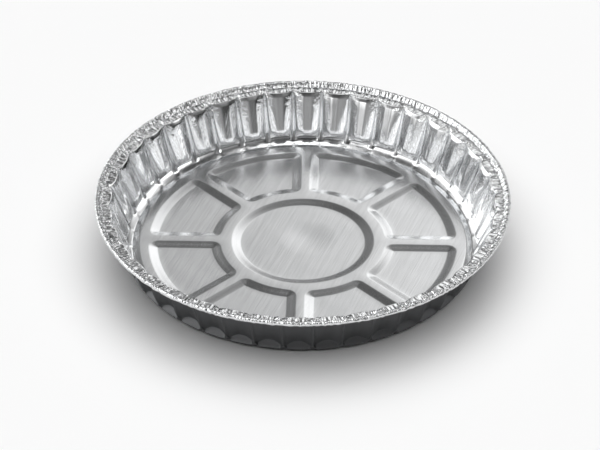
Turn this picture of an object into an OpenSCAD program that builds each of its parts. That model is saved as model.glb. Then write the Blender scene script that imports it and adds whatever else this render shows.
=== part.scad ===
// Round pie tin pressed from one sheet of aluminium foil.
// Embossed floor, fluted wall, flat ledge and rolled lip are one skin of even thickness.
// Z is up. The tin stands on its sunk panels, disc and groove at z = 0.

/* [Sheet] */
// Thickness of the foil
foil_t = 0.1; // [0.08:0.01:0.2]

/* [Floor] */
// Diameter of the floor, where the bed of its groove meets the wall
floor_d = 195.4; // [185:0.2:230]
// Width of the groove that runs round the floor along the wall
groove_w = 3.9; // [2.6:0.1:6]
// Width of the slope from the ribs down to the groove
groove_slope_w = 2.5; // [1:0.1:4]
// How far the bend between groove and wall reaches in over the groove
bend_run = 2.2; // [1:0.1:2.5]
// How high the same bend reaches up the wall
bend_rise = 1.2; // [0.8:0.1:2.5]
// Depth of the groove, of the panels and of the centre disc below the ribs
emboss_h = 1.1; // [0.5:0.1:2]
// Width of the slope round each panel and round the disc
slope_w = 4.7; // [2:0.1:6]

/* [Floor pattern] */
// Diameter of the centre disc, slope included
disc_d = 79; // [60:1:90]
// Flat ring between the disc and the panels
inner_ring_w = 6.6; // [3:0.1:9]
// Flat ring between the panels and the groove's slope
outer_ring_w = 5.5; // [3:0.1:9]
// Number of panels
panel_count = 8; // [6:1:10]
// Flat width of the rib between two panels
rib_w = 5; // [3:0.1:8]
// Radius of a panel's corners at the foot of its slope
panel_corner_r = 0.5; // [0.2:0.1:2]

/* [Wall] */
// Height of the ledge above the floor's ribs
wall_h = 28.4; // [22:0.1:40]
// Diameter of the mouth, measured at the creases between flutes
mouth_d = 215.2; // [206:0.2:250]

/* [Flutes] */
// Number of flutes that bulge into the tin
flute_count = 40; // [30:1:50]
// How far a flute stands in from the creases beside it
flute_depth = 3.3; // [1:0.1:3.8]
// Share of that depth which lies in the narrow fold at a crease
fold_share = 0.27; // [0.1:0.01:0.5]
// Share of the pitch that a flute's flat face takes
face_share = 0.28; // [0.2:0.01:0.5]
// Share of the pitch that a flute's straight foot takes
foot_share = 0.78; // [0.6:0.01:0.9]
// Plain band of wall between the floor's bend and the flutes
plain_h = 1.3; // [0.3:0.1:4]
// How much higher than a flute's foot the creases beside it start
crease_rise = 3.7; // [2:0.1:5]
// Height of the slope by which a flute grows out of the plain band
foot_h = 5.2; // [3:0.1:8]
// Height of the slope between the ledge and a flute's face
shoulder_h = 2; // [1:0.1:4]
// How far the ledge bulges inward over each flute
scallop_in = 2.3; // [0.5:0.1:3]

/* [Rim] */
// Flat width of the ledge, from a crease to the foot of the lip
ledge_w = 3.5; // [2.5:0.1:8]
// Horizontal run from the ledge's edge to the centre of the lip's roll
lip_run = 2.3; // [1.9:0.1:4]
// Height of the roll's centre above the ledge
lip_rise = 1.4; // [1:0.1:3]
// Outside diameter of the roll
roll_d = 3.2; // [2:0.1:4]
// Direction from the roll's centre at which the lip runs into the roll
roll_from = 150; // [130:5:160]
// How far the roll is wound
roll_turn = 270; // [180:10:280]

/* [Hidden] */

foil_colour = "silver";

// Levels of the upper face
panel_z = foil_t;
rib_z = panel_z + emboss_h;
ledge_z = rib_z + wall_h;
bend_top_z = panel_z + bend_rise;
foot_z = bend_top_z + plain_h;

// Radii
floor_r = floor_d / 2;
mouth_r = mouth_d / 2;
ledge_r = mouth_r + ledge_w;
roll_r = roll_d / 2;
disc_r = disc_d / 2;
panel_in_r = disc_r + inner_ring_w;
groove_r = floor_r - groove_w;
slope_top_r = groove_r - groove_slope_w;
panel_out_r = slope_top_r - outer_ring_w;
panel_top_corner_r = panel_corner_r + slope_w;

// Angles
sector = 360 / panel_count;
half_sector = sector / 2;
pitch = 360 / flute_count;

// Steps of the mesh
bend_steps = 2;
roll_steps = 9;
arc_out_steps = 10;
arc_in_steps = 6;
corner_steps = 4;
panel_out_steps = 8;
panel_in_steps = 4;
round_count = panel_count * arc_out_steps;
disc_count = panel_count * arc_in_steps;

// Columns of one flute, in half pitches from its middle, with the crease at 1
side_1 = face_share + 0.5 * (1 - face_share);
side_2 = face_share + 0.88 * (1 - face_share);
flute_columns = [-face_share, face_share, side_1, side_2, 1, 2 - side_2, 2 - side_1];
crease_column = search(1, flute_columns)[0];
// How round the sides of a flute are, with 1 for flat sides
side_power = 1.2;
// How narrow the fold at a crease is
fold_power = 10;
// Share of a foot's height that its slope keeps at the lower corners of a flute
heel_share = 0.115;
// Step by which a direction along a ring is taken, in degrees
probe = 0.2;
// Least cosine by which the sheet is mitred at a sharp fold
mitre_min = 0.5;

// Rings of the upper face, from the top of the groove's slope to the end of the roll
groove_ring = 1;
bend_ring = groove_ring + 1;
foot_ring = bend_ring + bend_steps + 1;
heel_ring = foot_ring + 1;
shoulder_ring = heel_ring + 1;
mouth_ring = shoulder_ring + 1;
ledge_ring = mouth_ring + 1;
roll_ring = ledge_ring + 1;
last_ring = roll_ring + roll_steps;

function unit(v) = v / norm(v);
function polar(r, a) = [r * cos(a), r * sin(a)];
function closed(v) = concat(v, [v[0]]);
function slice(v, from, to) = [for (i = [from:to]) v[i % len(v)]];

// Wall between floor and mouth, on which the creases lie
function wall_r(z) = floor_r + (mouth_r - floor_r) * (z - panel_z) / (ledge_z - panel_z);

// Distance from a flute's middle in half pitches, and the bulge there from 0 to 1
function across(a) = 2 * abs(a / pitch - round(a / pitch));
function bulge(a) =
    let (side = max(0, across(a) - face_share) / (1 - face_share))
    1 - (1 - fold_share) * pow(side, side_power) - fold_share * pow(side, fold_power);

// Line of a flute's foot, which climbs to the creases at its ends
function foot_line(a) =
    foot_z + crease_rise * max(0, across(a) - foot_share) / (1 - foot_share);
function heel_line(a) = max(foot_line(a) + heel_share * foot_h, foot_z + foot_h * bulge(a));

// Radius and height of the bend, a curve tangent to the groove's bed and to the wall
function bend_point(t) =
    let (
        start = [floor_r - bend_run, panel_z],
        middle = [floor_r, panel_z],
        end = [wall_r(bend_top_z), bend_top_z]
    )
    (1 - t) * (1 - t) * start + 2 * t * (1 - t) * middle + t * t * end;

function fluted(z, a) = [wall_r(z) - flute_depth * bulge(a), z];

function roll_point(t) =
    [ledge_r + lip_run, ledge_z + lip_rise] + polar(roll_r, roll_from - t * roll_turn);

// Radius and height of a ring at angle a
function section_point(ring, a) =
    ring == 0 ? [slope_top_r, rib_z]
    : ring == groove_ring ? [groove_r, panel_z]
    : ring < foot_ring ? bend_point((ring - bend_ring) / bend_steps)
    : ring == foot_ring ? [wall_r(foot_line(a)), foot_line(a)]
    : ring == heel_ring ? fluted(heel_line(a), a)
    : ring == shoulder_ring ? fluted(ledge_z - shoulder_h, a)
    : ring == mouth_ring ? [mouth_r - scallop_in * bulge(a), ledge_z]
    : ring == ledge_ring ? [ledge_r, ledge_z]
    : roll_point((ring - roll_ring) / roll_steps);

function ring_point(ring, a) =
    let (p = section_point(ring, a)) [p.x * cos(a), p.x * sin(a), p.y];

function is_fluted(ring) = ring >= foot_ring && ring <= mouth_ring;
function ring_angles(ring) =
    is_fluted(ring)
    ? [for (k = [0:flute_count - 1], c = flute_columns) (k + c / 2) * pitch]
    : [for (k = [0:round_count - 1]) k * 360 / round_count];

// Step from the upper face to the lower face, square to the skin
function skin_step(ring, a) =
    let (
        here = ring_point(ring, a),
        before = ring == 0 ? [0, 0, rib_z] : ring_point(ring - 1, a),
        after = ring == last_ring ? 2 * here - before : ring_point(ring + 1, a),
        along = ring_point(ring, a + probe) - ring_point(ring, a - probe),
        next = unit(after - here),
        mean = unit(cross(along, unit(here - before) + next)),
        mitre = mean * unit(cross(along, next))
    )
    mean * foil_t / max(mitre_min, mitre);

// Outline of one panel about the X axis, moved inward by inset, as plan points.
// It starts at the corner beside the rib at -half_sector and runs anticlockwise.
function corner_angle(r) =
    half_sector - asin((rib_w / 2 + panel_top_corner_r) / r);
function corner_arc(centre_r, side, from, to, inset) =
    [for (k = [0:corner_steps])
        polar(centre_r, side * corner_angle(centre_r))
        + polar(panel_top_corner_r - inset, from + (to - from) * k / corner_steps)];
function panel_outline(inset) =
    let (
        out_r = panel_out_r - panel_top_corner_r,
        in_r = panel_in_r + panel_top_corner_r,
        out_a = corner_angle(out_r),
        in_a = corner_angle(in_r),
        square_a = half_sector + 90
    )
    concat(
        corner_arc(out_r, -1, -square_a, -out_a, inset),
        [for (k = [1:panel_out_steps - 1])
            polar(panel_out_r - inset, out_a * (2 * k / panel_out_steps - 1))],
        corner_arc(out_r, 1, out_a, square_a, inset),
        corner_arc(in_r, 1, square_a, 180 + in_a, inset),
        [for (k = [1:panel_in_steps - 1])
            polar(panel_in_r + inset, in_a * (1 - 2 * k / panel_in_steps))],
        corner_arc(in_r, -1, 180 - in_a, 360 - square_a, inset)
    );
outline_count = 4 * (corner_steps + 1) + panel_out_steps + panel_in_steps - 2;

function turned(p, a, z) = [p.x * cos(a) - p.y * sin(a), p.x * sin(a) + p.y * cos(a), z];

// Points of the upper face, in groups: centre, disc, rings, then three groups a panel
disc_angles = [for (k = [0:disc_count - 1]) k * 360 / disc_count];
floor_groups = [
    [[0, 0, panel_z]],
    [for (a = disc_angles) [(disc_r - slope_w) * cos(a), (disc_r - slope_w) * sin(a), panel_z]],
    [for (a = disc_angles) [disc_r * cos(a), disc_r * sin(a), rib_z]],
    [for (a = ring_angles(0)) ring_point(0, a)]
];
ring_groups = [for (ring = [1:last_ring]) [for (a = ring_angles(ring)) ring_point(ring, a)]];
ring_steps = [for (ring = [1:last_ring]) [for (a = ring_angles(ring)) skin_step(ring, a)]];
panel_groups = [
    for (k = [0:panel_count - 1])
        let (a = (k + 0.5) * sector)
        each [
            [turned([(panel_in_r + panel_out_r) / 2, 0], a, panel_z)],
            [for (p = panel_outline(slope_w)) turned(p, a, panel_z)],
            [for (p = panel_outline(0)) turned(p, a, rib_z)]
        ]
];

// Joins two rows of points that may differ in number into a strip of triangles
function strip(a, b) =
    let (na = len(a) - 1, nb = len(b) - 1)
    concat(
        [for (i = [0:na - 1])
            [a[i], a[i + 1], b[floor(((2 * i + 1) * nb + na - 1) / (2 * na))]]],
        [for (j = [0:nb - 1])
            [b[j + 1], b[j], a[floor(((2 * j + 1) * na + nb) / (2 * nb))]]]
    );
function fan(centre, loop) =
    [for (j = [0:len(loop) - 1]) [loop[(j + 1) % len(loop)], loop[j], centre]];
function band(a, b) = strip(closed(a), closed(b));

// Row of a ring's points, turned so that it starts at the first crease
function from_crease(row, ring) =
    let (at = is_fluted(ring) ? crease_column : round(round_count / flute_count / 2))
    slice(row, at, at + len(row) - 1);

// One panel: its flat bed, its slope, and the flat web from there to the ribs' middles
function panel_faces(centre, foot, top, disc_row, rim_row) =
    let (
        half = corner_steps / 2,
        corner = corner_steps + 1,
        mid_1 = half,
        mid_2 = mid_1 + corner + panel_out_steps - 1,
        mid_3 = mid_2 + corner,
        mid_4 = mid_3 + corner + panel_in_steps - 1
    )
    concat(
        fan(centre, foot),
        band(foot, top),
        strip(slice(top, mid_1, mid_2), rim_row),
        strip(slice(top, mid_2, mid_3), [rim_row[arc_out_steps], disc_row[arc_in_steps]]),
        strip(slice(top, mid_3, mid_4), [for (k = [arc_in_steps:-1:0]) disc_row[k]]),
        strip(slice(top, mid_4, mid_1 + outline_count), [disc_row[0], rim_row[0]])
    );

module pie_tin() {
    groups = concat(floor_groups, ring_groups, panel_groups);
    sizes = [for (g = groups) len(g)];
    starts = [for (i = 0, at = 0; i < len(sizes); at = at + sizes[i], i = i + 1) at];
    rows = [for (i = [0:len(sizes) - 1]) [for (j = [0:sizes[i] - 1]) starts[i] + j]];

    down = [0, 0, -foil_t];
    steps = concat(
        [for (g = floor_groups) [for (p = g) down]],
        ring_steps,
        [for (g = panel_groups) [for (p = g) down]]
    );
    upper = [for (g = groups) each g];
    lower = [for (i = [0:len(groups) - 1], j = [0:sizes[i] - 1]) groups[i][j] + steps[i][j]];
    count = len(upper);

    disc_foot = rows[1];
    disc_top = rows[2];
    first = 3;
    first_panel = first + last_ring + 1;
    upper_faces = concat(
        fan(rows[0][0], disc_foot),
        band(disc_foot, disc_top),
        [for (ring = [0:last_ring - 1]) each band(
            from_crease(rows[first + ring], ring),
            from_crease(rows[first + ring + 1], ring + 1)
        )],
        [for (k = [0:panel_count - 1]) each panel_faces(
            rows[first_panel + 3 * k][0],
            rows[first_panel + 3 * k + 1],
            rows[first_panel + 3 * k + 2],
            slice(disc_top, k * arc_in_steps, (k + 1) * arc_in_steps),
            slice(rows[first], k * arc_out_steps, (k + 1) * arc_out_steps)
        )]
    );
    lower_faces = [for (f = upper_faces) [f[2] + count, f[1] + count, f[0] + count]];
    edge = rows[first + last_ring];
    edge_faces = band(edge, [for (i = edge) i + count]);

    color(foil_colour)
        polyhedron(
            points = concat(upper, lower),
            faces = concat(upper_faces, lower_faces, edge_faces),
            convexity = 10
        );
}

pie_tin();
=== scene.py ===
import math

import bpy
import numpy as np
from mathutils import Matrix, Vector


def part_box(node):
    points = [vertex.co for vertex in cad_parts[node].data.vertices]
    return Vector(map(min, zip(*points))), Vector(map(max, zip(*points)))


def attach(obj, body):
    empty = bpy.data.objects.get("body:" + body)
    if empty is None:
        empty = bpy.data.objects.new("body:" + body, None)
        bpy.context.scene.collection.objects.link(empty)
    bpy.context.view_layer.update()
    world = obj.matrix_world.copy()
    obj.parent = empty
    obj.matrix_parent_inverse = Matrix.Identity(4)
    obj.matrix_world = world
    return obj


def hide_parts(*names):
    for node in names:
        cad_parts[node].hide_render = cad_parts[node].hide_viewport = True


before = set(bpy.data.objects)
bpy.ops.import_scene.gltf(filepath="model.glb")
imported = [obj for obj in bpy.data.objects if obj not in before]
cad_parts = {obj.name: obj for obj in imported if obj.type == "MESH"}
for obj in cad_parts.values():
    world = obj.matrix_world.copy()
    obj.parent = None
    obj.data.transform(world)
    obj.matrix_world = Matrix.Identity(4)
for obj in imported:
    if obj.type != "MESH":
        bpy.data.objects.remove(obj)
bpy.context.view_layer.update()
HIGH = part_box("pie_tin")[1]

# Sizes are in millimetres up to the foil's material, and places are on the sheet's upper face.
MM = 0.001

# Rim: the roll, the lip that rises to it and the flat ledge. Its edge and top come from the frame.
SHEET_T = 0.1
RIM_R, RIM_Z = HIGH.x / MM, HIGH.z / MM
ROLL_R = 1.6
ROLL_CENTRE = (RIM_R - ROLL_R, RIM_Z - ROLL_R)
ROLL_FROM, ROLL_TURN = 150, 270
LIP_RUN, LIP_RISE = 2.3, 1.4
LEDGE_W = 3.5
LEDGE_R = ROLL_CENTRE[0] - LIP_RUN
LEDGE_Z = ROLL_CENTRE[1] - LIP_RISE
MOUTH_R = LEDGE_R - LEDGE_W

# Groove round the floor. Its outer side rises in a curve to BAND_TOP, and BAND_MID is the curve's corner.
PANEL_Z = SHEET_T
FLOOR_R = 97.7
GROOVE_W, GROOVE_FLAT, GROOVE_SLOPE_W = 3.9, 0.35, 2.5
GROOVE_R = FLOOR_R - GROOVE_W
GROOVE_EDGE_R = GROOVE_R + GROOVE_FLAT
BAND_MID = (FLOOR_R - 2.4, PANEL_Z + 0.5)
BAND_TOP = (FLOOR_R - 1.0, PANEL_Z + 1.25)
SLOPE_TOP_R = GROOVE_R - GROOVE_SLOPE_W

# Embossed floor: a sunk disc and sunk panels, with ribs and rings between them
EMBOSS_H = 1.1
RIB_Z = PANEL_Z + EMBOSS_H
PANELS = 8
DISC_R = 39.5
DISC_RING_W, OUTER_RING_W = 6.6, 5.5
PANEL_IN_R = DISC_R + DISC_RING_W
PANEL_OUT_R = SLOPE_TOP_R - OUTER_RING_W
RIB_W = 5.0
SLOPE_W, SLOPE_EASE = 4.7, 0.12
CORNER_R = 5.2

# Flutes. The face and the foot take these shares of half a flute, from its middle to its crease, and
# the fold at the crease takes FOLD_SHARE of the depth.
FLUTES = 40
PITCH = 360 / FLUTES
FOOT_DEPTH, TOP_DEPTH = 4.1, 2.6
FACE_SHARE, FOOT_SHARE = 0.24, 0.78
SIDE_POWER = 1.26
FOLD_SHARE, FOLD_POWER = 0.27, 10
FOOT_RISE, CREASE_RISE = 2.5, 3.7
FOOT_Z = PANEL_Z + FOOT_RISE
FOOT_H, HEEL_MIN_H = 3.4, 0.6
SHOULDER_H = 2.0
SCALLOP_IN = 2.0
MOUTH_BEND, MOUTH_END = 0.6, 0.9

# Bulge of this tin's wall: the angle where it is widest, its mean and its swing, cut off below 0
LEAN_ANGLE, LEAN_MEAN, LEAN_SWING = 205, 0.35, 0.5

# Columns of points round the tin
FLOOR_COLUMNS = 10 * FLUTES
RIM_COLUMNS = 36 * FLUTES
DISC_COLUMNS = 12 * PANELS

# Places of the points: across half a flute, up the groove's outer side, over the ledge, round the roll
# and across a slope
HALF_FLUTE = [0, 0.12, 0.24, 0.33, 0.42, 0.53, 0.64, 0.74, 0.83, 0.9, 0.95, 1]
BAND_PLACES = [0.33, 0.66, 1]
LEDGE_PLACES = [0, 0.3, 0.6, 0.85, 1]
ROLL_PLACES = [0, 0.1, 0.2, 0.3, 0.42, 0.55, 0.7, 0.85, 1]
SLOPE_PLACES = [-SLOPE_EASE, -0.04, 0.1, 0.5, 0.9, 1.04, 1 + SLOPE_EASE]

# Places of the points: out over the disc, in from the edge of a panel's flat, and in along a rib. The
# flat's edge lies PANEL_FLAT slope widths inside the panel's outline.
DISC_PLACES = [0.15, 0.3, 0.45, 0.6, 0.75, 0.9]
PANEL_PLACES = [0.985, 0.8, 0.55, 0.28]
PANEL_FLAT = 1.06
RIB_PLACES = [0.1, 0.16, 0.22, 0.35, 0.5, 0.65, 0.78, 0.86]
WEB_MARGIN, RIB_MARGIN = 0.8, 0.6
WEB_EDGE_R = SLOPE_TOP_R - WEB_MARGIN
RIB_END_R = DISC_R + RIB_MARGIN

# Steps along a panel's outline: round a corner, along its outer and inner arcs, and along a side
CORNER_STEPS, OUT_STEPS, IN_STEPS, SIDE_STEPS = 6, 20, 8, 6

# Foil: its colour, which varies, and its roughness where it is flat and where it is pressed
FOIL_DARK, FOIL_LIGHT = (0.75, 0.76, 0.77, 1), (0.85, 0.855, 0.86, 1)
SATIN, PRESSED = 0.22, 0.08
# Outside of the sheet: its roughness is the foil's duller side, and its very dark colour is painted shade
# that stands in for the dark surroundings the outer wall mirrors
OUTSIDE_PAINTED_SHADE_COLOUR, OUTSIDE_ROUGHNESS = (0.16, 0.163, 0.167, 1), 0.55

# Rolling grain of the foil and its wider streaks: their angle, and waves a metre along, across and up
GRAIN_ANGLE = math.radians(109)
GRAIN_WAVES, STREAK_WAVES = (60, 1500, 60), (14, 260, 14)

# Wrinkles of the rim: their pitch round it in millimetres, and the waves a metre by which they wander
WRINKLE_PITCH = 1.8
WRINKLE_DRIFT = (90, 90, 90)

# Soft dent that is pressed into the disc, in metres
DENT_PLACE = (0.003, 0.004, 0.0)
DENT_R, DENT_DEPTH = 0.017, 0.0003

# Soft lights of the room: azimuth, elevation, spread and strength. Azimuth 0 is behind the tin.
SOFT_LIGHTS = [
    (12, 33, 10, 1.48),  # behind, mirrored by the tin's floor and its ledge
    (10, 86, 9, 2.50),  # overhead, mirrored by the groove's outer side
    (50, 35, 8, 2.30),  # behind at the right
    (85, 36, 9, 3.00),  # right
    (130, 43, 14, 0.36),  # in front at the right
    (177, 0, 20, 0.38),  # in front and low
    (211, 16, 7, 1.90),  # in front at the left, low
    (236, 12, 8, 1.30),  # left and a little in front, low
    (242, 54, 10, 2.30),  # left and a little in front, high
    (270, 27, 12, 2.90),  # left
    (293, 10, 12, 1.80),  # left and a little behind, low
    (298, 36, 9, 1.90),  # left and a little behind
    (316, 27, 9, 2.10),  # behind at the left
]
ROOM = 0.02

# Lamps that light the floor from behind: name, elevation, strength and spread
LAMPS = [("behind", 50, 0.7, 48), ("overhead", 88, 2.7, 100)]

# Floor under the tin: half its width and its drop in metres, and its colour
FLOOR_HALF, FLOOR_DROP = 12, 0.0002
FLOOR_COLOUR = (0.93, 0.93, 0.93, 1)

# Camera that sees the tin as the photograph does, in metres and degrees, and its lens in millimetres
CAMERA_DISTANCE, CAMERA_ELEVATION, CAMERA_TURN = 1.66073, 36.308, 1.5
CAMERA_TARGET = Vector((-0.00144, -0.00449, 0.015))
CAMERA_LENS, CAMERA_SENSOR = 180, 36


def smooth(x):
    """Eased step that goes from 0 to 1 as x does."""
    x = np.clip(x, 0, 1)
    return x * x * (3 - 2 * x)


def rise(x, start, width):
    """Eased step that goes from 0 to 1 as x goes from start to width beyond it."""
    return smooth((x - start) / width)


def bell(x):
    """1 where x is 0, and close to 0 from 2 away."""
    return np.exp(-x ** 2)


def ripple(a, v, per_flute, seed, tall=1, depth=1):
    """Smooth noise from -depth to depth at angle a and place v. Its cells are per_flute a flute and
    tall along v."""
    cells = per_flute * FLUTES
    u, v = a / 360 * cells, v / tall
    iu, iv = np.floor(u), np.floor(v)
    fu, fv = smooth(u - iu), smooth(v - iv)

    def cell(i, j):
        """Value of one cell's corner. The large factors only scatter the values."""
        h = np.sin(np.mod(i, cells) * 127.1 + j * 311.7 + seed * 74.7) * 43758.5453
        return 2 * (h - np.floor(h)) - 1

    low = cell(iu, iv) + (cell(iu + 1, iv) - cell(iu, iv)) * fu
    high = cell(iu, iv + 1) + (cell(iu + 1, iv + 1) - cell(iu, iv + 1)) * fu
    return depth * (low + (high - low) * fv)


def across(a):
    """Distance from the middle of a flute, in half pitches."""
    return 2 * np.abs(a / PITCH - np.round(a / PITCH))


def bulge(a):
    """How far a flute stands in from the creases, from 0 at a crease to 1 on its face."""
    side = np.maximum(0, across(a) - FACE_SHARE) / (1 - FACE_SHARE)
    return 1 - (1 - FOLD_SHARE) * side ** SIDE_POWER - FOLD_SHARE * side ** FOLD_POWER


def point(r, z, a):
    """Radius and height as one array of pairs, one pair for each angle."""
    return np.stack([np.broadcast_to(r, a.shape), np.broadcast_to(z, a.shape)], 1).astype(float)


def wall_r(z):
    """Radius of the creases at height z."""
    return FLOOR_R + (MOUTH_R - FLOOR_R) * (z - PANEL_Z) / (LEDGE_Z - PANEL_Z)


def mouth_r(a):
    """Radius of the ledge's inner edge, which is scalloped."""
    return MOUTH_R - SCALLOP_IN * bulge(a)


def up_wall(z):
    """Height on the wall, from 0 at the flutes' feet to 1 at the ledge."""
    return (z - FOOT_Z) / (LEDGE_Z - FOOT_Z)


def fluted(z, a):
    depth = FOOT_DEPTH + (TOP_DEPTH - FOOT_DEPTH) * up_wall(z)
    return point(wall_r(z) - depth * bulge(a), z, a)


def foot_line(a):
    """Height of the flutes' feet, which rises towards each crease."""
    return FOOT_Z + CREASE_RISE * np.maximum(0, across(a) - FOOT_SHARE) / (1 - FOOT_SHARE)


def heel_line(a):
    """Height at which a foot's slant meets the flute's face."""
    return np.maximum(foot_line(a) + HEEL_MIN_H, FOOT_Z + FOOT_H * bulge(a))


def unit(v):
    return v / np.linalg.norm(v, axis=1, keepdims=True)


def soften(corners, ease, between):
    """Rows along a section: each inner corner becomes a short curve, and each side gets more rows."""
    rows = [corners[0]]
    for i in range(1, len(corners) - 1):
        here = corners[i]
        start = here - unit(here - corners[i - 1]) * ease[i - 1]
        end = here + unit(corners[i + 1] - here) * ease[i - 1]
        last = rows[-1]
        for k in range(between[i - 1]):
            rows.append(last + (start - last) * (k + 1) / (between[i - 1] + 1))
        rows += [start, (start + 2 * here + end) / 4, end]
    last = rows[-1]
    for k in range(between[-1]):
        rows.append(last + (corners[-1] - last) * (k + 1) / (between[-1] + 1))
    rows.append(corners[-1])
    return rows


def groove_rows(a):
    """Section of the groove, from the web's edge to the top of its outer side."""
    start, corner, end = (point(r, z, a) for r, z in ((GROOVE_EDGE_R, PANEL_Z), BAND_MID, BAND_TOP))
    rows = soften([point(WEB_EDGE_R, RIB_Z, a), point(SLOPE_TOP_R, RIB_Z, a),
                   point(GROOVE_R, PANEL_Z, a), start], ease=[0.5, 0.25], between=[0, 0, 0])
    for t in BAND_PLACES:
        rows.append((1 - t) ** 2 * start + 2 * t * (1 - t) * corner + t * t * end)
    return rows


def wall_rows(a):
    """Section of the wall, from just above the groove to the ledge's inner edge."""
    foot, heel = foot_line(a), heel_line(a)
    band, foot_row = point(*BAND_TOP, a), point(wall_r(foot), foot, a)
    above_band = 0.15
    return soften(
        [band + above_band * (foot_row - band), foot_row, fluted(heel, a), fluted(LEDGE_Z - SHOULDER_H, a),
         point(mouth_r(a), LEDGE_Z, a), point(mouth_r(a) + MOUTH_BEND, LEDGE_Z, a)],
        ease=[0.25, 0.28, 0.5, 0.2], between=[0, 1, 5, 1, 0])


def rim_rows(a):
    """Section of the ledge, the lip and the roll."""
    inner = mouth_r(a) + MOUTH_END
    rows = [point(inner + (LEDGE_R - inner) * t, LEDGE_Z, a) for t in LEDGE_PLACES]
    for t in ROLL_PLACES:
        turn = math.radians(ROLL_FROM - t * ROLL_TURN)
        rows.append(point(ROLL_CENTRE[0] + ROLL_R * math.cos(turn),
                          ROLL_CENTRE[1] + ROLL_R * math.sin(turn), a))
    return rows


def lean(a, z):
    """Outward bulge of this tin's wall, which is widest at the left and in front of it."""
    left = np.cos(np.radians(a - LEAN_ANGLE))
    height = np.clip(z / LEDGE_Z, 0, 1)
    return np.maximum(0, LEAN_SWING * left + LEAN_MEAN) * (1 - height ** 3)


def groove_bumps(rows, a):
    """Small dents that the creases of the wall press into the groove."""
    bump_r, bump_w, bump_span, mean_h = GROOVE_R + 0.5, 1.1, 0.16, 0.34
    height = mean_h + ripple(a, 0.5, per_flute=1, seed=11, depth=0.2)
    at_crease = bell((1 - across(a)) / bump_span)
    # The first three rows, where the web meets the slope, stay as they are
    for row in rows[3:]:
        row[:, 1] += height * bell((row[:, 0] - bump_r) / bump_w) * at_crease
        row[:, 0] += lean(a, row[:, 1])
    return rows


def beside_crease(z, a):
    """How crumpled the wall is, from 0 to 1, which is most at the top beside some creases."""
    mean_start, mean_share = 0.6, 0.45
    start = mean_start + ripple(a, 0.3, per_flute=2, seed=26, depth=0.25)
    share = np.clip(mean_share + ripple(a, 0.5, per_flute=2, seed=23, depth=0.75), 0, 1)
    return rise(across(a), start=0.3, width=0.3) * rise(up_wall(z), start, width=0.35) * share


def wall_dents(rows, a):
    """Dents on the flutes' faces and crumpled foil beside the creases, strongest near the ledge."""
    pinch_depth, pinch_span = 0.45, 0.07
    foot_fade, top_fade = 0.25, 0.08
    ridge_h = 0.34
    pinch = pinch_depth * bell((1 - across(a)) / pinch_span)
    for row in rows:
        z = row[:, 1]
        height = up_wall(z)
        open_field = smooth(height / foot_fade) * smooth((1 - height) / top_fade)
        face = ripple(a, z, per_flute=2, seed=21, tall=14, depth=0.14)
        face += ripple(a, z, per_flute=5, seed=22, tall=6, depth=0.025)
        crumple = ridge_h * (0.5 - np.abs(ripple(a, z, per_flute=9, seed=24, tall=2.6)))
        crumple += ripple(a, z, per_flute=11, seed=25, tall=1.7, depth=0.2)
        row[:, 0] += open_field * (face + pinch + beside_crease(z, a) * crumple) + lean(a, z)
    return rows


def off_pads(r, a):
    """1 where the rim is crumpled all over, and less on the smoother pads of the ledge."""
    on_pad, lip_w = 0.25, 0.8
    on_ledge = on_pad + (1 - on_pad) * rise(across(a), start=0.5, width=0.2)
    return np.maximum(on_ledge, rise(r, start=LEDGE_R - lip_w, width=lip_w))


def crimped(rows, a):
    """Pads and crumpled ridges on the ledge, fine wrinkles up the lip, and blocks on the roll."""
    ledge, roll = rows[:len(LEDGE_PLACES)], rows[len(LEDGE_PLACES):]
    ridge_h, ridge_drop = 0.6, 0.35
    fine_h, lip_h = 0.1, 0.34
    crimp_h, block_h, most_h = 0.12, 0.21, 0.45
    off_pad = rise(across(a), start=0.56, width=0.2)
    for k, row in enumerate(ledge):
        t = k / (len(ledge) - 1)
        ridge = ridge_h + ripple(a, 1.1 * t, per_flute=3, seed=31, depth=0.3)
        ridge += ripple(a, 1.6 * t, per_flute=11, seed=36, depth=0.5)
        wrinkle_h = fine_h + lip_h * rise(t, start=0.4, width=0.6)
        wrinkle = ripple(a, 2.2 * t, per_flute=15, seed=33, depth=wrinkle_h)
        row[:, 1] += off_pad * ridge * (1 - ridge_drop * t) + wrinkle
    for k, row in enumerate(roll):
        out = unit(row - np.array(ROLL_CENTRE))
        block = smooth(0.5 + ripple(a, 0.15 * k, per_flute=11, seed=34, depth=2))
        crimp = block_h * block + crimp_h + ripple(a, 0.4 * k, per_flute=16, seed=35, depth=0.1)
        row -= out * np.clip(crimp, 0, most_h)[:, None]
    return rows


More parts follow.
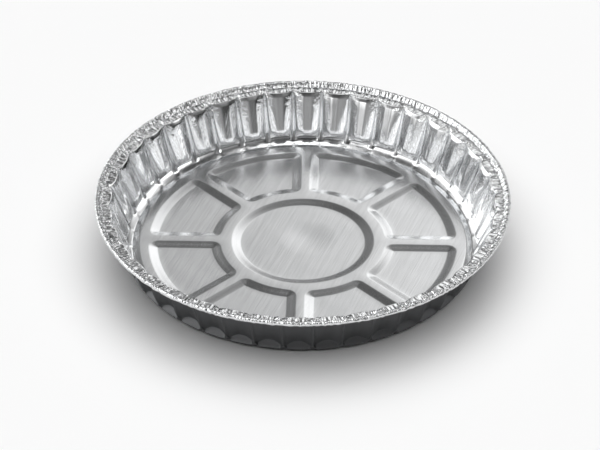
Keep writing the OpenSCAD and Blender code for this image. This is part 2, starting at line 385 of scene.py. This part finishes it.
class Skin:
    """Points and triangles of the upper face. Each point knows how crumpled the foil is there."""

    def __init__(self):
        self.points, self.crumpled, self.faces, self.count = [], [], [], 0

    def row(self, xyz, crumpled=0):
        """Adds a row of points and gives their numbers."""
        self.points.append(np.asarray(xyz, float))
        self.crumpled.append(np.broadcast_to(crumpled, len(xyz)))
        start = self.count
        self.count += len(xyz)
        return list(range(start, self.count))

    def strip(self, a, b, place_a=None, place_b=None):
        """Joins two open rows by the place of each point along them."""
        place_a = place_a if place_a is not None else np.linspace(0, 1, len(a))
        place_b = place_b if place_b is not None else np.linspace(0, 1, len(b))
        i = j = 0
        while i < len(a) - 1 or j < len(b) - 1:
            step_a = place_a[i + 1] if i < len(a) - 1 else math.inf
            step_b = place_b[j + 1] if j < len(b) - 1 else math.inf
            if i < len(a) - 1 and (step_a <= step_b or j == len(b) - 1):
                self.faces.append((a[i + 1], a[i], b[j]))
                i += 1
            else:
                self.faces.append((b[j], b[j + 1], a[i]))
                j += 1

    def ring(self, a, b, angle_a=None, angle_b=None):
        """Joins two closed rows that start at the same angle."""
        wide = None if angle_a is None else list(angle_a) + [angle_a[0] + 360]
        other = None if angle_b is None else list(angle_b) + [angle_b[0] + 360]
        self.strip(a + a[:1], b + b[:1], wide, other)

    def rings(self, rows):
        for a, b in zip(rows, rows[1:]):
            self.ring(a, b)

    def fan(self, middle, row):
        for i in range(len(row)):
            self.faces.append((middle, row[i], row[(i + 1) % len(row)]))


def stretch(row, start, end):
    """Part of a closed row, which may run past the row's end."""
    return [row[i % len(row)] for i in range(start, end + 1)]


def polar(r, deg):
    return np.array([r * math.cos(math.radians(deg)), r * math.sin(math.radians(deg))])


def turned(plan, deg, z):
    """Plan points turned about the tin's axis and put at height z."""
    c, s = math.cos(math.radians(deg)), math.sin(math.radians(deg))
    x, y = plan[:, 0] * c - plan[:, 1] * s, plan[:, 0] * s + plan[:, 1] * c
    return np.stack([x, y, np.broadcast_to(z, x.shape)], 1)


def round_row(section, a):
    """A row of radii and heights laid round the tin at the angles a."""
    r = np.radians(a)
    return np.stack([section[:, 0] * np.cos(r), section[:, 0] * np.sin(r), section[:, 1]], 1)


def corner_angle(r):
    """Angle from a panel's middle to the centre of the corner that lies at radius r."""
    return 180 / PANELS - math.degrees(math.asin((RIB_W / 2 + CORNER_R) / r))


def panel_outline(inset):
    """Plan points of one panel about the X axis, moved inward by inset."""
    out_r, in_r = PANEL_OUT_R - CORNER_R, PANEL_IN_R + CORNER_R
    out_a, in_a = corner_angle(out_r), corner_angle(in_r)
    square = 180 / PANELS + 90

    def corner(r, side, start, end):
        centre = polar(r, side * corner_angle(r))
        return [centre + polar(CORNER_R - inset, start + (end - start) * k / CORNER_STEPS)
                for k in range(CORNER_STEPS + 1)]

    def side(p, q):
        return [p + (q - p) * k / SIDE_STEPS for k in range(1, SIDE_STEPS)]

    first = corner(out_r, -1, -square, -out_a)
    second = corner(out_r, 1, out_a, square)
    third = corner(in_r, 1, square, 180 + in_a)
    fourth = corner(in_r, -1, 180 - in_a, 360 - square)
    outer = [polar(PANEL_OUT_R - inset, out_a * (2 * k / OUT_STEPS - 1)) for k in range(1, OUT_STEPS)]
    inner = [polar(PANEL_IN_R + inset, in_a * (1 - 2 * k / IN_STEPS)) for k in range(1, IN_STEPS)]
    loop = first + outer + second + side(second[-1], third[0]) + third + inner + fourth
    return np.array(loop + side(fourth[-1], first[0]))


def panel_corners():
    """Places of the corners' middles along a panel's outline, which end with the first one again."""
    places = [CORNER_STEPS // 2]
    for steps in (OUT_STEPS, SIDE_STEPS, IN_STEPS, SIDE_STEPS):
        places.append(places[-1] + CORNER_STEPS + steps)
    return places


def slope_z(t):
    """Height at t across a slope, which is 0 at its top and 1 at its foot. Both its edges are eased."""
    fall = t
    if t < SLOPE_EASE:
        fall = (t + SLOPE_EASE) ** 2 / (4 * SLOPE_EASE)
    elif t > 1 - SLOPE_EASE:
        fall = 1 - (1 + SLOPE_EASE - t) ** 2 / (4 * SLOPE_EASE)
    return RIB_Z - EMBOSS_H * fall


def build_disc(skin):
    """The sunk disc and its slope. Gives the row at the slope's top."""
    angles = np.arange(DISC_COLUMNS) * 360 / DISC_COLUMNS
    centre = skin.row([[0, 0, PANEL_Z]])[0]
    places = [((DISC_R - SLOPE_W) * share, PANEL_Z) for share in DISC_PLACES]
    places += [(DISC_R - SLOPE_W * t, slope_z(t)) for t in reversed(SLOPE_PLACES)]
    rows = [skin.row(round_row(point(r, z, angles), angles)) for r, z in places]
    skin.fan(centre, rows[0])
    skin.rings(rows)
    return rows[-1]


def build_panel(skin, middle_angle):
    """One sunk panel and its slope. Gives the row at the slope's top."""
    loops = [skin.row(turned(panel_outline(t * SLOPE_W), middle_angle, slope_z(t)))
             for t in SLOPE_PLACES[:-1]]
    flat = panel_outline(PANEL_FLAT * SLOPE_W)
    heart = np.array([(PANEL_IN_R + PANEL_OUT_R) / 2, 0])
    loops += [skin.row(turned(heart + (flat - heart) * share, middle_angle, PANEL_Z))
              for share in PANEL_PLACES]
    middle = skin.row(turned(heart[None], middle_angle, PANEL_Z))[0]
    for outer, inner in zip(loops, loops[1:]):
        skin.ring(inner, outer)
    skin.fan(middle, loops[-1])
    return loops[0]


def build_floor(skin, edge_row):
    """Disc, panels and the flat web between them, out to the groove's first row."""
    disc_top = build_disc(skin)
    per_panel, per_disc = FLOOR_COLUMNS // PANELS, DISC_COLUMNS // PANELS
    line = np.array([[WEB_EDGE_R + (RIB_END_R - WEB_EDGE_R) * t, 0] for t in RIB_PLACES])
    ribs = []
    for k in range(PANELS):
        rib = skin.row(turned(line, k * 360 / PANELS, RIB_Z))
        ribs.append([edge_row[k * per_panel]] + rib + [disc_top[k * per_disc]])
    corners = panel_corners()
    for k in range(PANELS):
        top = build_panel(skin, (k + 0.5) * 360 / PANELS)
        beside = [stretch(edge_row, k * per_panel, (k + 1) * per_panel), ribs[(k + 1) % PANELS],
                  stretch(disc_top, k * per_disc, (k + 1) * per_disc)[::-1], ribs[k][::-1]]
        for start, end, row in zip(corners, corners[1:], beside):
            skin.strip(stretch(top, start, end), row)


def build_skin():
    """Upper face of the whole sheet: its points, its triangles and how crumpled each point is."""
    skin = Skin()
    half = np.array(HALF_FLUTE)
    flute = np.concatenate([-half[:0:-1], half[:-1]])
    floor_a = np.arange(FLOOR_COLUMNS) * 360 / FLOOR_COLUMNS
    wall_a = np.concatenate([(k + flute / 2) * PITCH for k in range(FLUTES)])
    rim_a = np.arange(RIM_COLUMNS) * 360 / RIM_COLUMNS - PITCH / 2
    groove = [skin.row(round_row(s, floor_a)) for s in groove_bumps(groove_rows(floor_a), floor_a)]
    wall = [skin.row(round_row(s, wall_a), beside_crease(s[:, 1], wall_a))
            for s in wall_dents(wall_rows(wall_a), wall_a)]
    rim = [skin.row(round_row(s, rim_a), off_pads(s[:, 0], rim_a))
           for s in crimped(rim_rows(rim_a), rim_a)]
    build_floor(skin, groove[0])
    skin.rings(groove)
    first_crease = int(np.argmin(np.abs(floor_a - (360 - PITCH / 2))))
    groove_top = groove[-1][first_crease:] + groove[-1][:first_crease]
    skin.ring(groove_top, wall[0], floor_a - PITCH / 2, wall_a)
    skin.rings(wall)
    skin.ring(wall[-1], rim[0], wall_a, rim_a)
    skin.rings(rim)
    return np.concatenate(skin.points), skin.faces, np.concatenate(skin.crumpled)


def mark(mesh, name, value):
    """Gives each point of the mesh a value, which the foil's material reads by that name."""
    mesh.attributes.new(name, "FLOAT", "POINT").data.foreach_set("value", value.astype(np.float32))


def make_tin(material):
    """The whole tin. Its skin is made first, and then gets the sheet's thickness below it."""
    points, faces, crumpled = build_skin()
    mesh = bpy.data.meshes.new("tin")
    mesh.from_pydata((points * MM).tolist(), [], faces)
    radius = np.hypot(points[:, 0], points[:, 1])
    mark(mesh, "pressed", rise(radius, start=GROOVE_R, width=3))
    mark(mesh, "crumpled", crumpled)
    mark(mesh, "rim", crumpled * rise(points[:, 2], start=LEDGE_Z - 0.6, width=0.5))
    mesh.materials.append(material)
    mesh.shade_smooth()
    tin = bpy.data.objects.new("tin", mesh)
    bpy.context.scene.collection.objects.link(tin)
    solid = tin.modifiers.new("thickness", "SOLIDIFY")
    solid.thickness = SHEET_T * MM
    solid.offset = -1
    bpy.context.view_layer.objects.active = tin
    tin.select_set(True)
    bpy.ops.object.modifier_apply(modifier=solid.name)
    mark(tin.data, "outside", np.repeat([0, 1], len(points)))
    return tin


class Tree:
    """Makes and links the nodes of a material or of the world."""

    def __init__(self, owner):
        owner.use_nodes = True
        self.nodes, self.links = owner.node_tree.nodes, owner.node_tree.links

    def feed(self, node, inputs):
        """Sets each named or numbered input to a value, or links it to another node's output."""
        for name, value in inputs.items():
            if isinstance(value, bpy.types.NodeSocket):
                self.links.new(value, node.inputs[name])
            else:
                node.inputs[name].default_value = value

    def make(self, kind, inputs, **settings):
        node = self.nodes.new(kind)
        for name, value in settings.items():
            setattr(node, name, value)
        self.feed(node, inputs)
        return node

    def place(self, output):
        return self.make("ShaderNodeTexCoord", {}).outputs[output]

    def math(self, operation, *values):
        return self.make("ShaderNodeMath", dict(enumerate(values)), operation=operation).outputs[0]

    def vector(self, operation, *values):
        node = self.make("ShaderNodeVectorMath", dict(enumerate(values)), operation=operation)
        return node.outputs["Value" if operation in ("DISTANCE", "DOT_PRODUCT") else "Vector"]

    def attribute(self, name):
        return self.make("ShaderNodeAttribute", {}, attribute_name=name).outputs["Fac"]

    def noise(self, coords, scale, detail):
        inputs = {"Vector": coords, "Scale": scale, "Detail": detail}
        return self.make("ShaderNodeTexNoise", inputs).outputs["Fac"]

    def ease(self, value, low, high, end=1.0):
        """Goes smoothly from low to high as value goes from 0 to end."""
        inputs = {"Value": value, "From Max": end, "To Min": low, "To Max": high}
        return self.make("ShaderNodeMapRange", inputs, interpolation_type="SMOOTHSTEP").outputs["Result"]

    def bump(self, height, distance, strength, under=None):
        inputs = {"Height": height, "Distance": distance, "Strength": strength}
        if under is not None:
            inputs["Normal"] = under
        return self.make("ShaderNodeBump", inputs).outputs["Normal"]

    def mix(self, share, first, second, kind="FLOAT"):
        inputs = {"Factor": share, "A": first, "B": second}
        return self.make("ShaderNodeMix", inputs, data_type=kind).outputs["Result"]


def foil_relief(tree, place):
    """Dent, swells, streaks, grain, crumpled foil and the rim's wrinkles, each laid over the last."""
    mapping = tree.make("ShaderNodeMapping", {"Vector": place, "Rotation": (0, 0, GRAIN_ANGLE)})
    along = mapping.outputs["Vector"]
    grain, streaks = (tree.noise(tree.vector("MULTIPLY", along, waves), scale=1, detail=2)
                      for waves in (GRAIN_WAVES, STREAK_WAVES))
    around = tree.vector("NORMALIZE", tree.vector("MULTIPLY", place, (1, 1, 0)))
    radial = tree.vector("ADD", tree.vector("MULTIPLY", around, (RIM_R / WRINKLE_PITCH,) * 3),
                         tree.vector("MULTIPLY", place, WRINKLE_DRIFT))
    from_dent = tree.vector("DISTANCE", place, DENT_PLACE)
    swell, crumple = tree.noise(place, scale=45, detail=1), tree.noise(place, scale=420, detail=3)
    wrinkle = tree.noise(radial, scale=1, detail=1)

    relief = tree.bump(tree.ease(from_dent, 0, 1, end=DENT_R), DENT_DEPTH, strength=1)
    relief = tree.bump(swell, 0.001, strength=0.12, under=relief)
    relief = tree.bump(streaks, 0.0002, strength=0.3, under=relief)
    relief = tree.bump(grain, 0.00005, strength=0.6, under=relief)
    relief = tree.bump(crumple, 0.0009, strength=tree.attribute("crumpled"), under=relief)
    return tree.bump(wrinkle, 0.0016, strength=tree.attribute("rim"), under=relief)


def foil_material():
    """Bright rolled foil: satin on the floor, shinier where it is pressed, and duller outside, where its
    dark colour is painted shade.
    """
    material = bpy.data.materials.new("foil")
    tree = Tree(material)
    place = tree.place("Object")
    outside = tree.attribute("outside")
    tint = tree.mix(tree.noise(place, scale=30, detail=3), FOIL_DARK, FOIL_LIGHT, "RGBA")
    inside_roughness = tree.ease(tree.attribute("pressed"), SATIN, PRESSED)
    tree.feed(tree.nodes["Principled BSDF"], {
        "Metallic": 1,
        # On the outside the colour is painted shade, far darker than the foil's own
        "Base Color": tree.mix(outside, tint, OUTSIDE_PAINTED_SHADE_COLOUR, "RGBA"),
        "Roughness": tree.mix(outside, inside_roughness, OUTSIDE_ROUGHNESS),
        "Normal": foil_relief(tree, place),
    })
    return material


def floor_material():
    """Plain pale floor without gloss."""
    material = bpy.data.materials.new("floor")
    tree = Tree(material)
    tree.feed(tree.nodes["Principled BSDF"],
              {"Base Color": FLOOR_COLOUR, "Roughness": 0.9, "Specular IOR Level": 0})
    return material


def make_floor(material):
    mesh = bpy.data.meshes.new("floor")
    corners = [(x * FLOOR_HALF, y * FLOOR_HALF, 0) for x, y in ((-1, -1), (1, -1), (1, 1), (-1, 1))]
    mesh.from_pydata(corners, [], [(0, 1, 2, 3)])
    mesh.materials.append(material)
    floor = bpy.data.objects.new("floor", mesh)
    floor.location.z = -FLOOR_DROP
    bpy.context.scene.collection.objects.link(floor)


def toward(azimuth, elevation):
    """Direction from the tin, with azimuth 0 behind it and 90 at its right."""
    a, e = math.radians(azimuth), math.radians(elevation)
    return Vector((math.sin(a) * math.cos(e), math.cos(a) * math.cos(e), math.sin(e)))


def make_camera():
    el, az = math.radians(CAMERA_ELEVATION), math.radians(CAMERA_TURN)
    away = Vector((math.sin(az) * math.cos(el), -math.cos(az) * math.cos(el), math.sin(el)))
    data = bpy.data.cameras.new("camera")
    data.lens, data.sensor_width = CAMERA_LENS, CAMERA_SENSOR
    camera = bpy.data.objects.new("camera", data)
    camera.location = CAMERA_TARGET + away * CAMERA_DISTANCE
    camera.rotation_euler = away.to_track_quat("Z", "Y").to_euler()
    bpy.context.scene.collection.objects.link(camera)
    bpy.context.scene.camera = camera


def make_world():
    """A dim room with soft lights round the tin. It lights only the foil, and the lamps light the floor."""
    world = bpy.data.worlds.new("studio")
    tree = Tree(world)
    world.cycles_visibility.diffuse = False
    bpy.context.scene.world = world
    direction = tree.place("Generated")
    total = None
    for azimuth, elevation, spread, strength in SOFT_LIGHTS:
        off = tree.math("SUBTRACT", tree.vector("DOT_PRODUCT", direction, toward(azimuth, elevation)), 1)
        fall = tree.math("EXPONENT", tree.math("DIVIDE", off, math.radians(spread) ** 2))
        light = tree.math("MULTIPLY", fall, strength)
        total = light if total is None else tree.math("ADD", total, light)
    tree.feed(tree.nodes["Background"], {"Color": tree.math("ADD", total, ROOM), "Strength": 1})


def make_lamp(name, elevation, strength, spread):
    """A soft lamp for the floor. The foil doesn't mirror it."""
    data = bpy.data.lights.new(name, "SUN")
    data.energy, data.angle = strength, math.radians(spread)
    lamp = bpy.data.objects.new(name, data)
    lamp.rotation_euler = toward(0, elevation).to_track_quat("Z", "Y").to_euler()
    lamp.visible_glossy = False
    bpy.context.scene.collection.objects.link(lamp)


bpy.context.scene.view_settings.view_transform = "Standard"
tin = make_tin(foil_material())
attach(tin, "root")
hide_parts("pie_tin")
make_floor(floor_material())
make_camera()
make_world()
for lamp in LAMPS:
    make_lamp(*lamp)
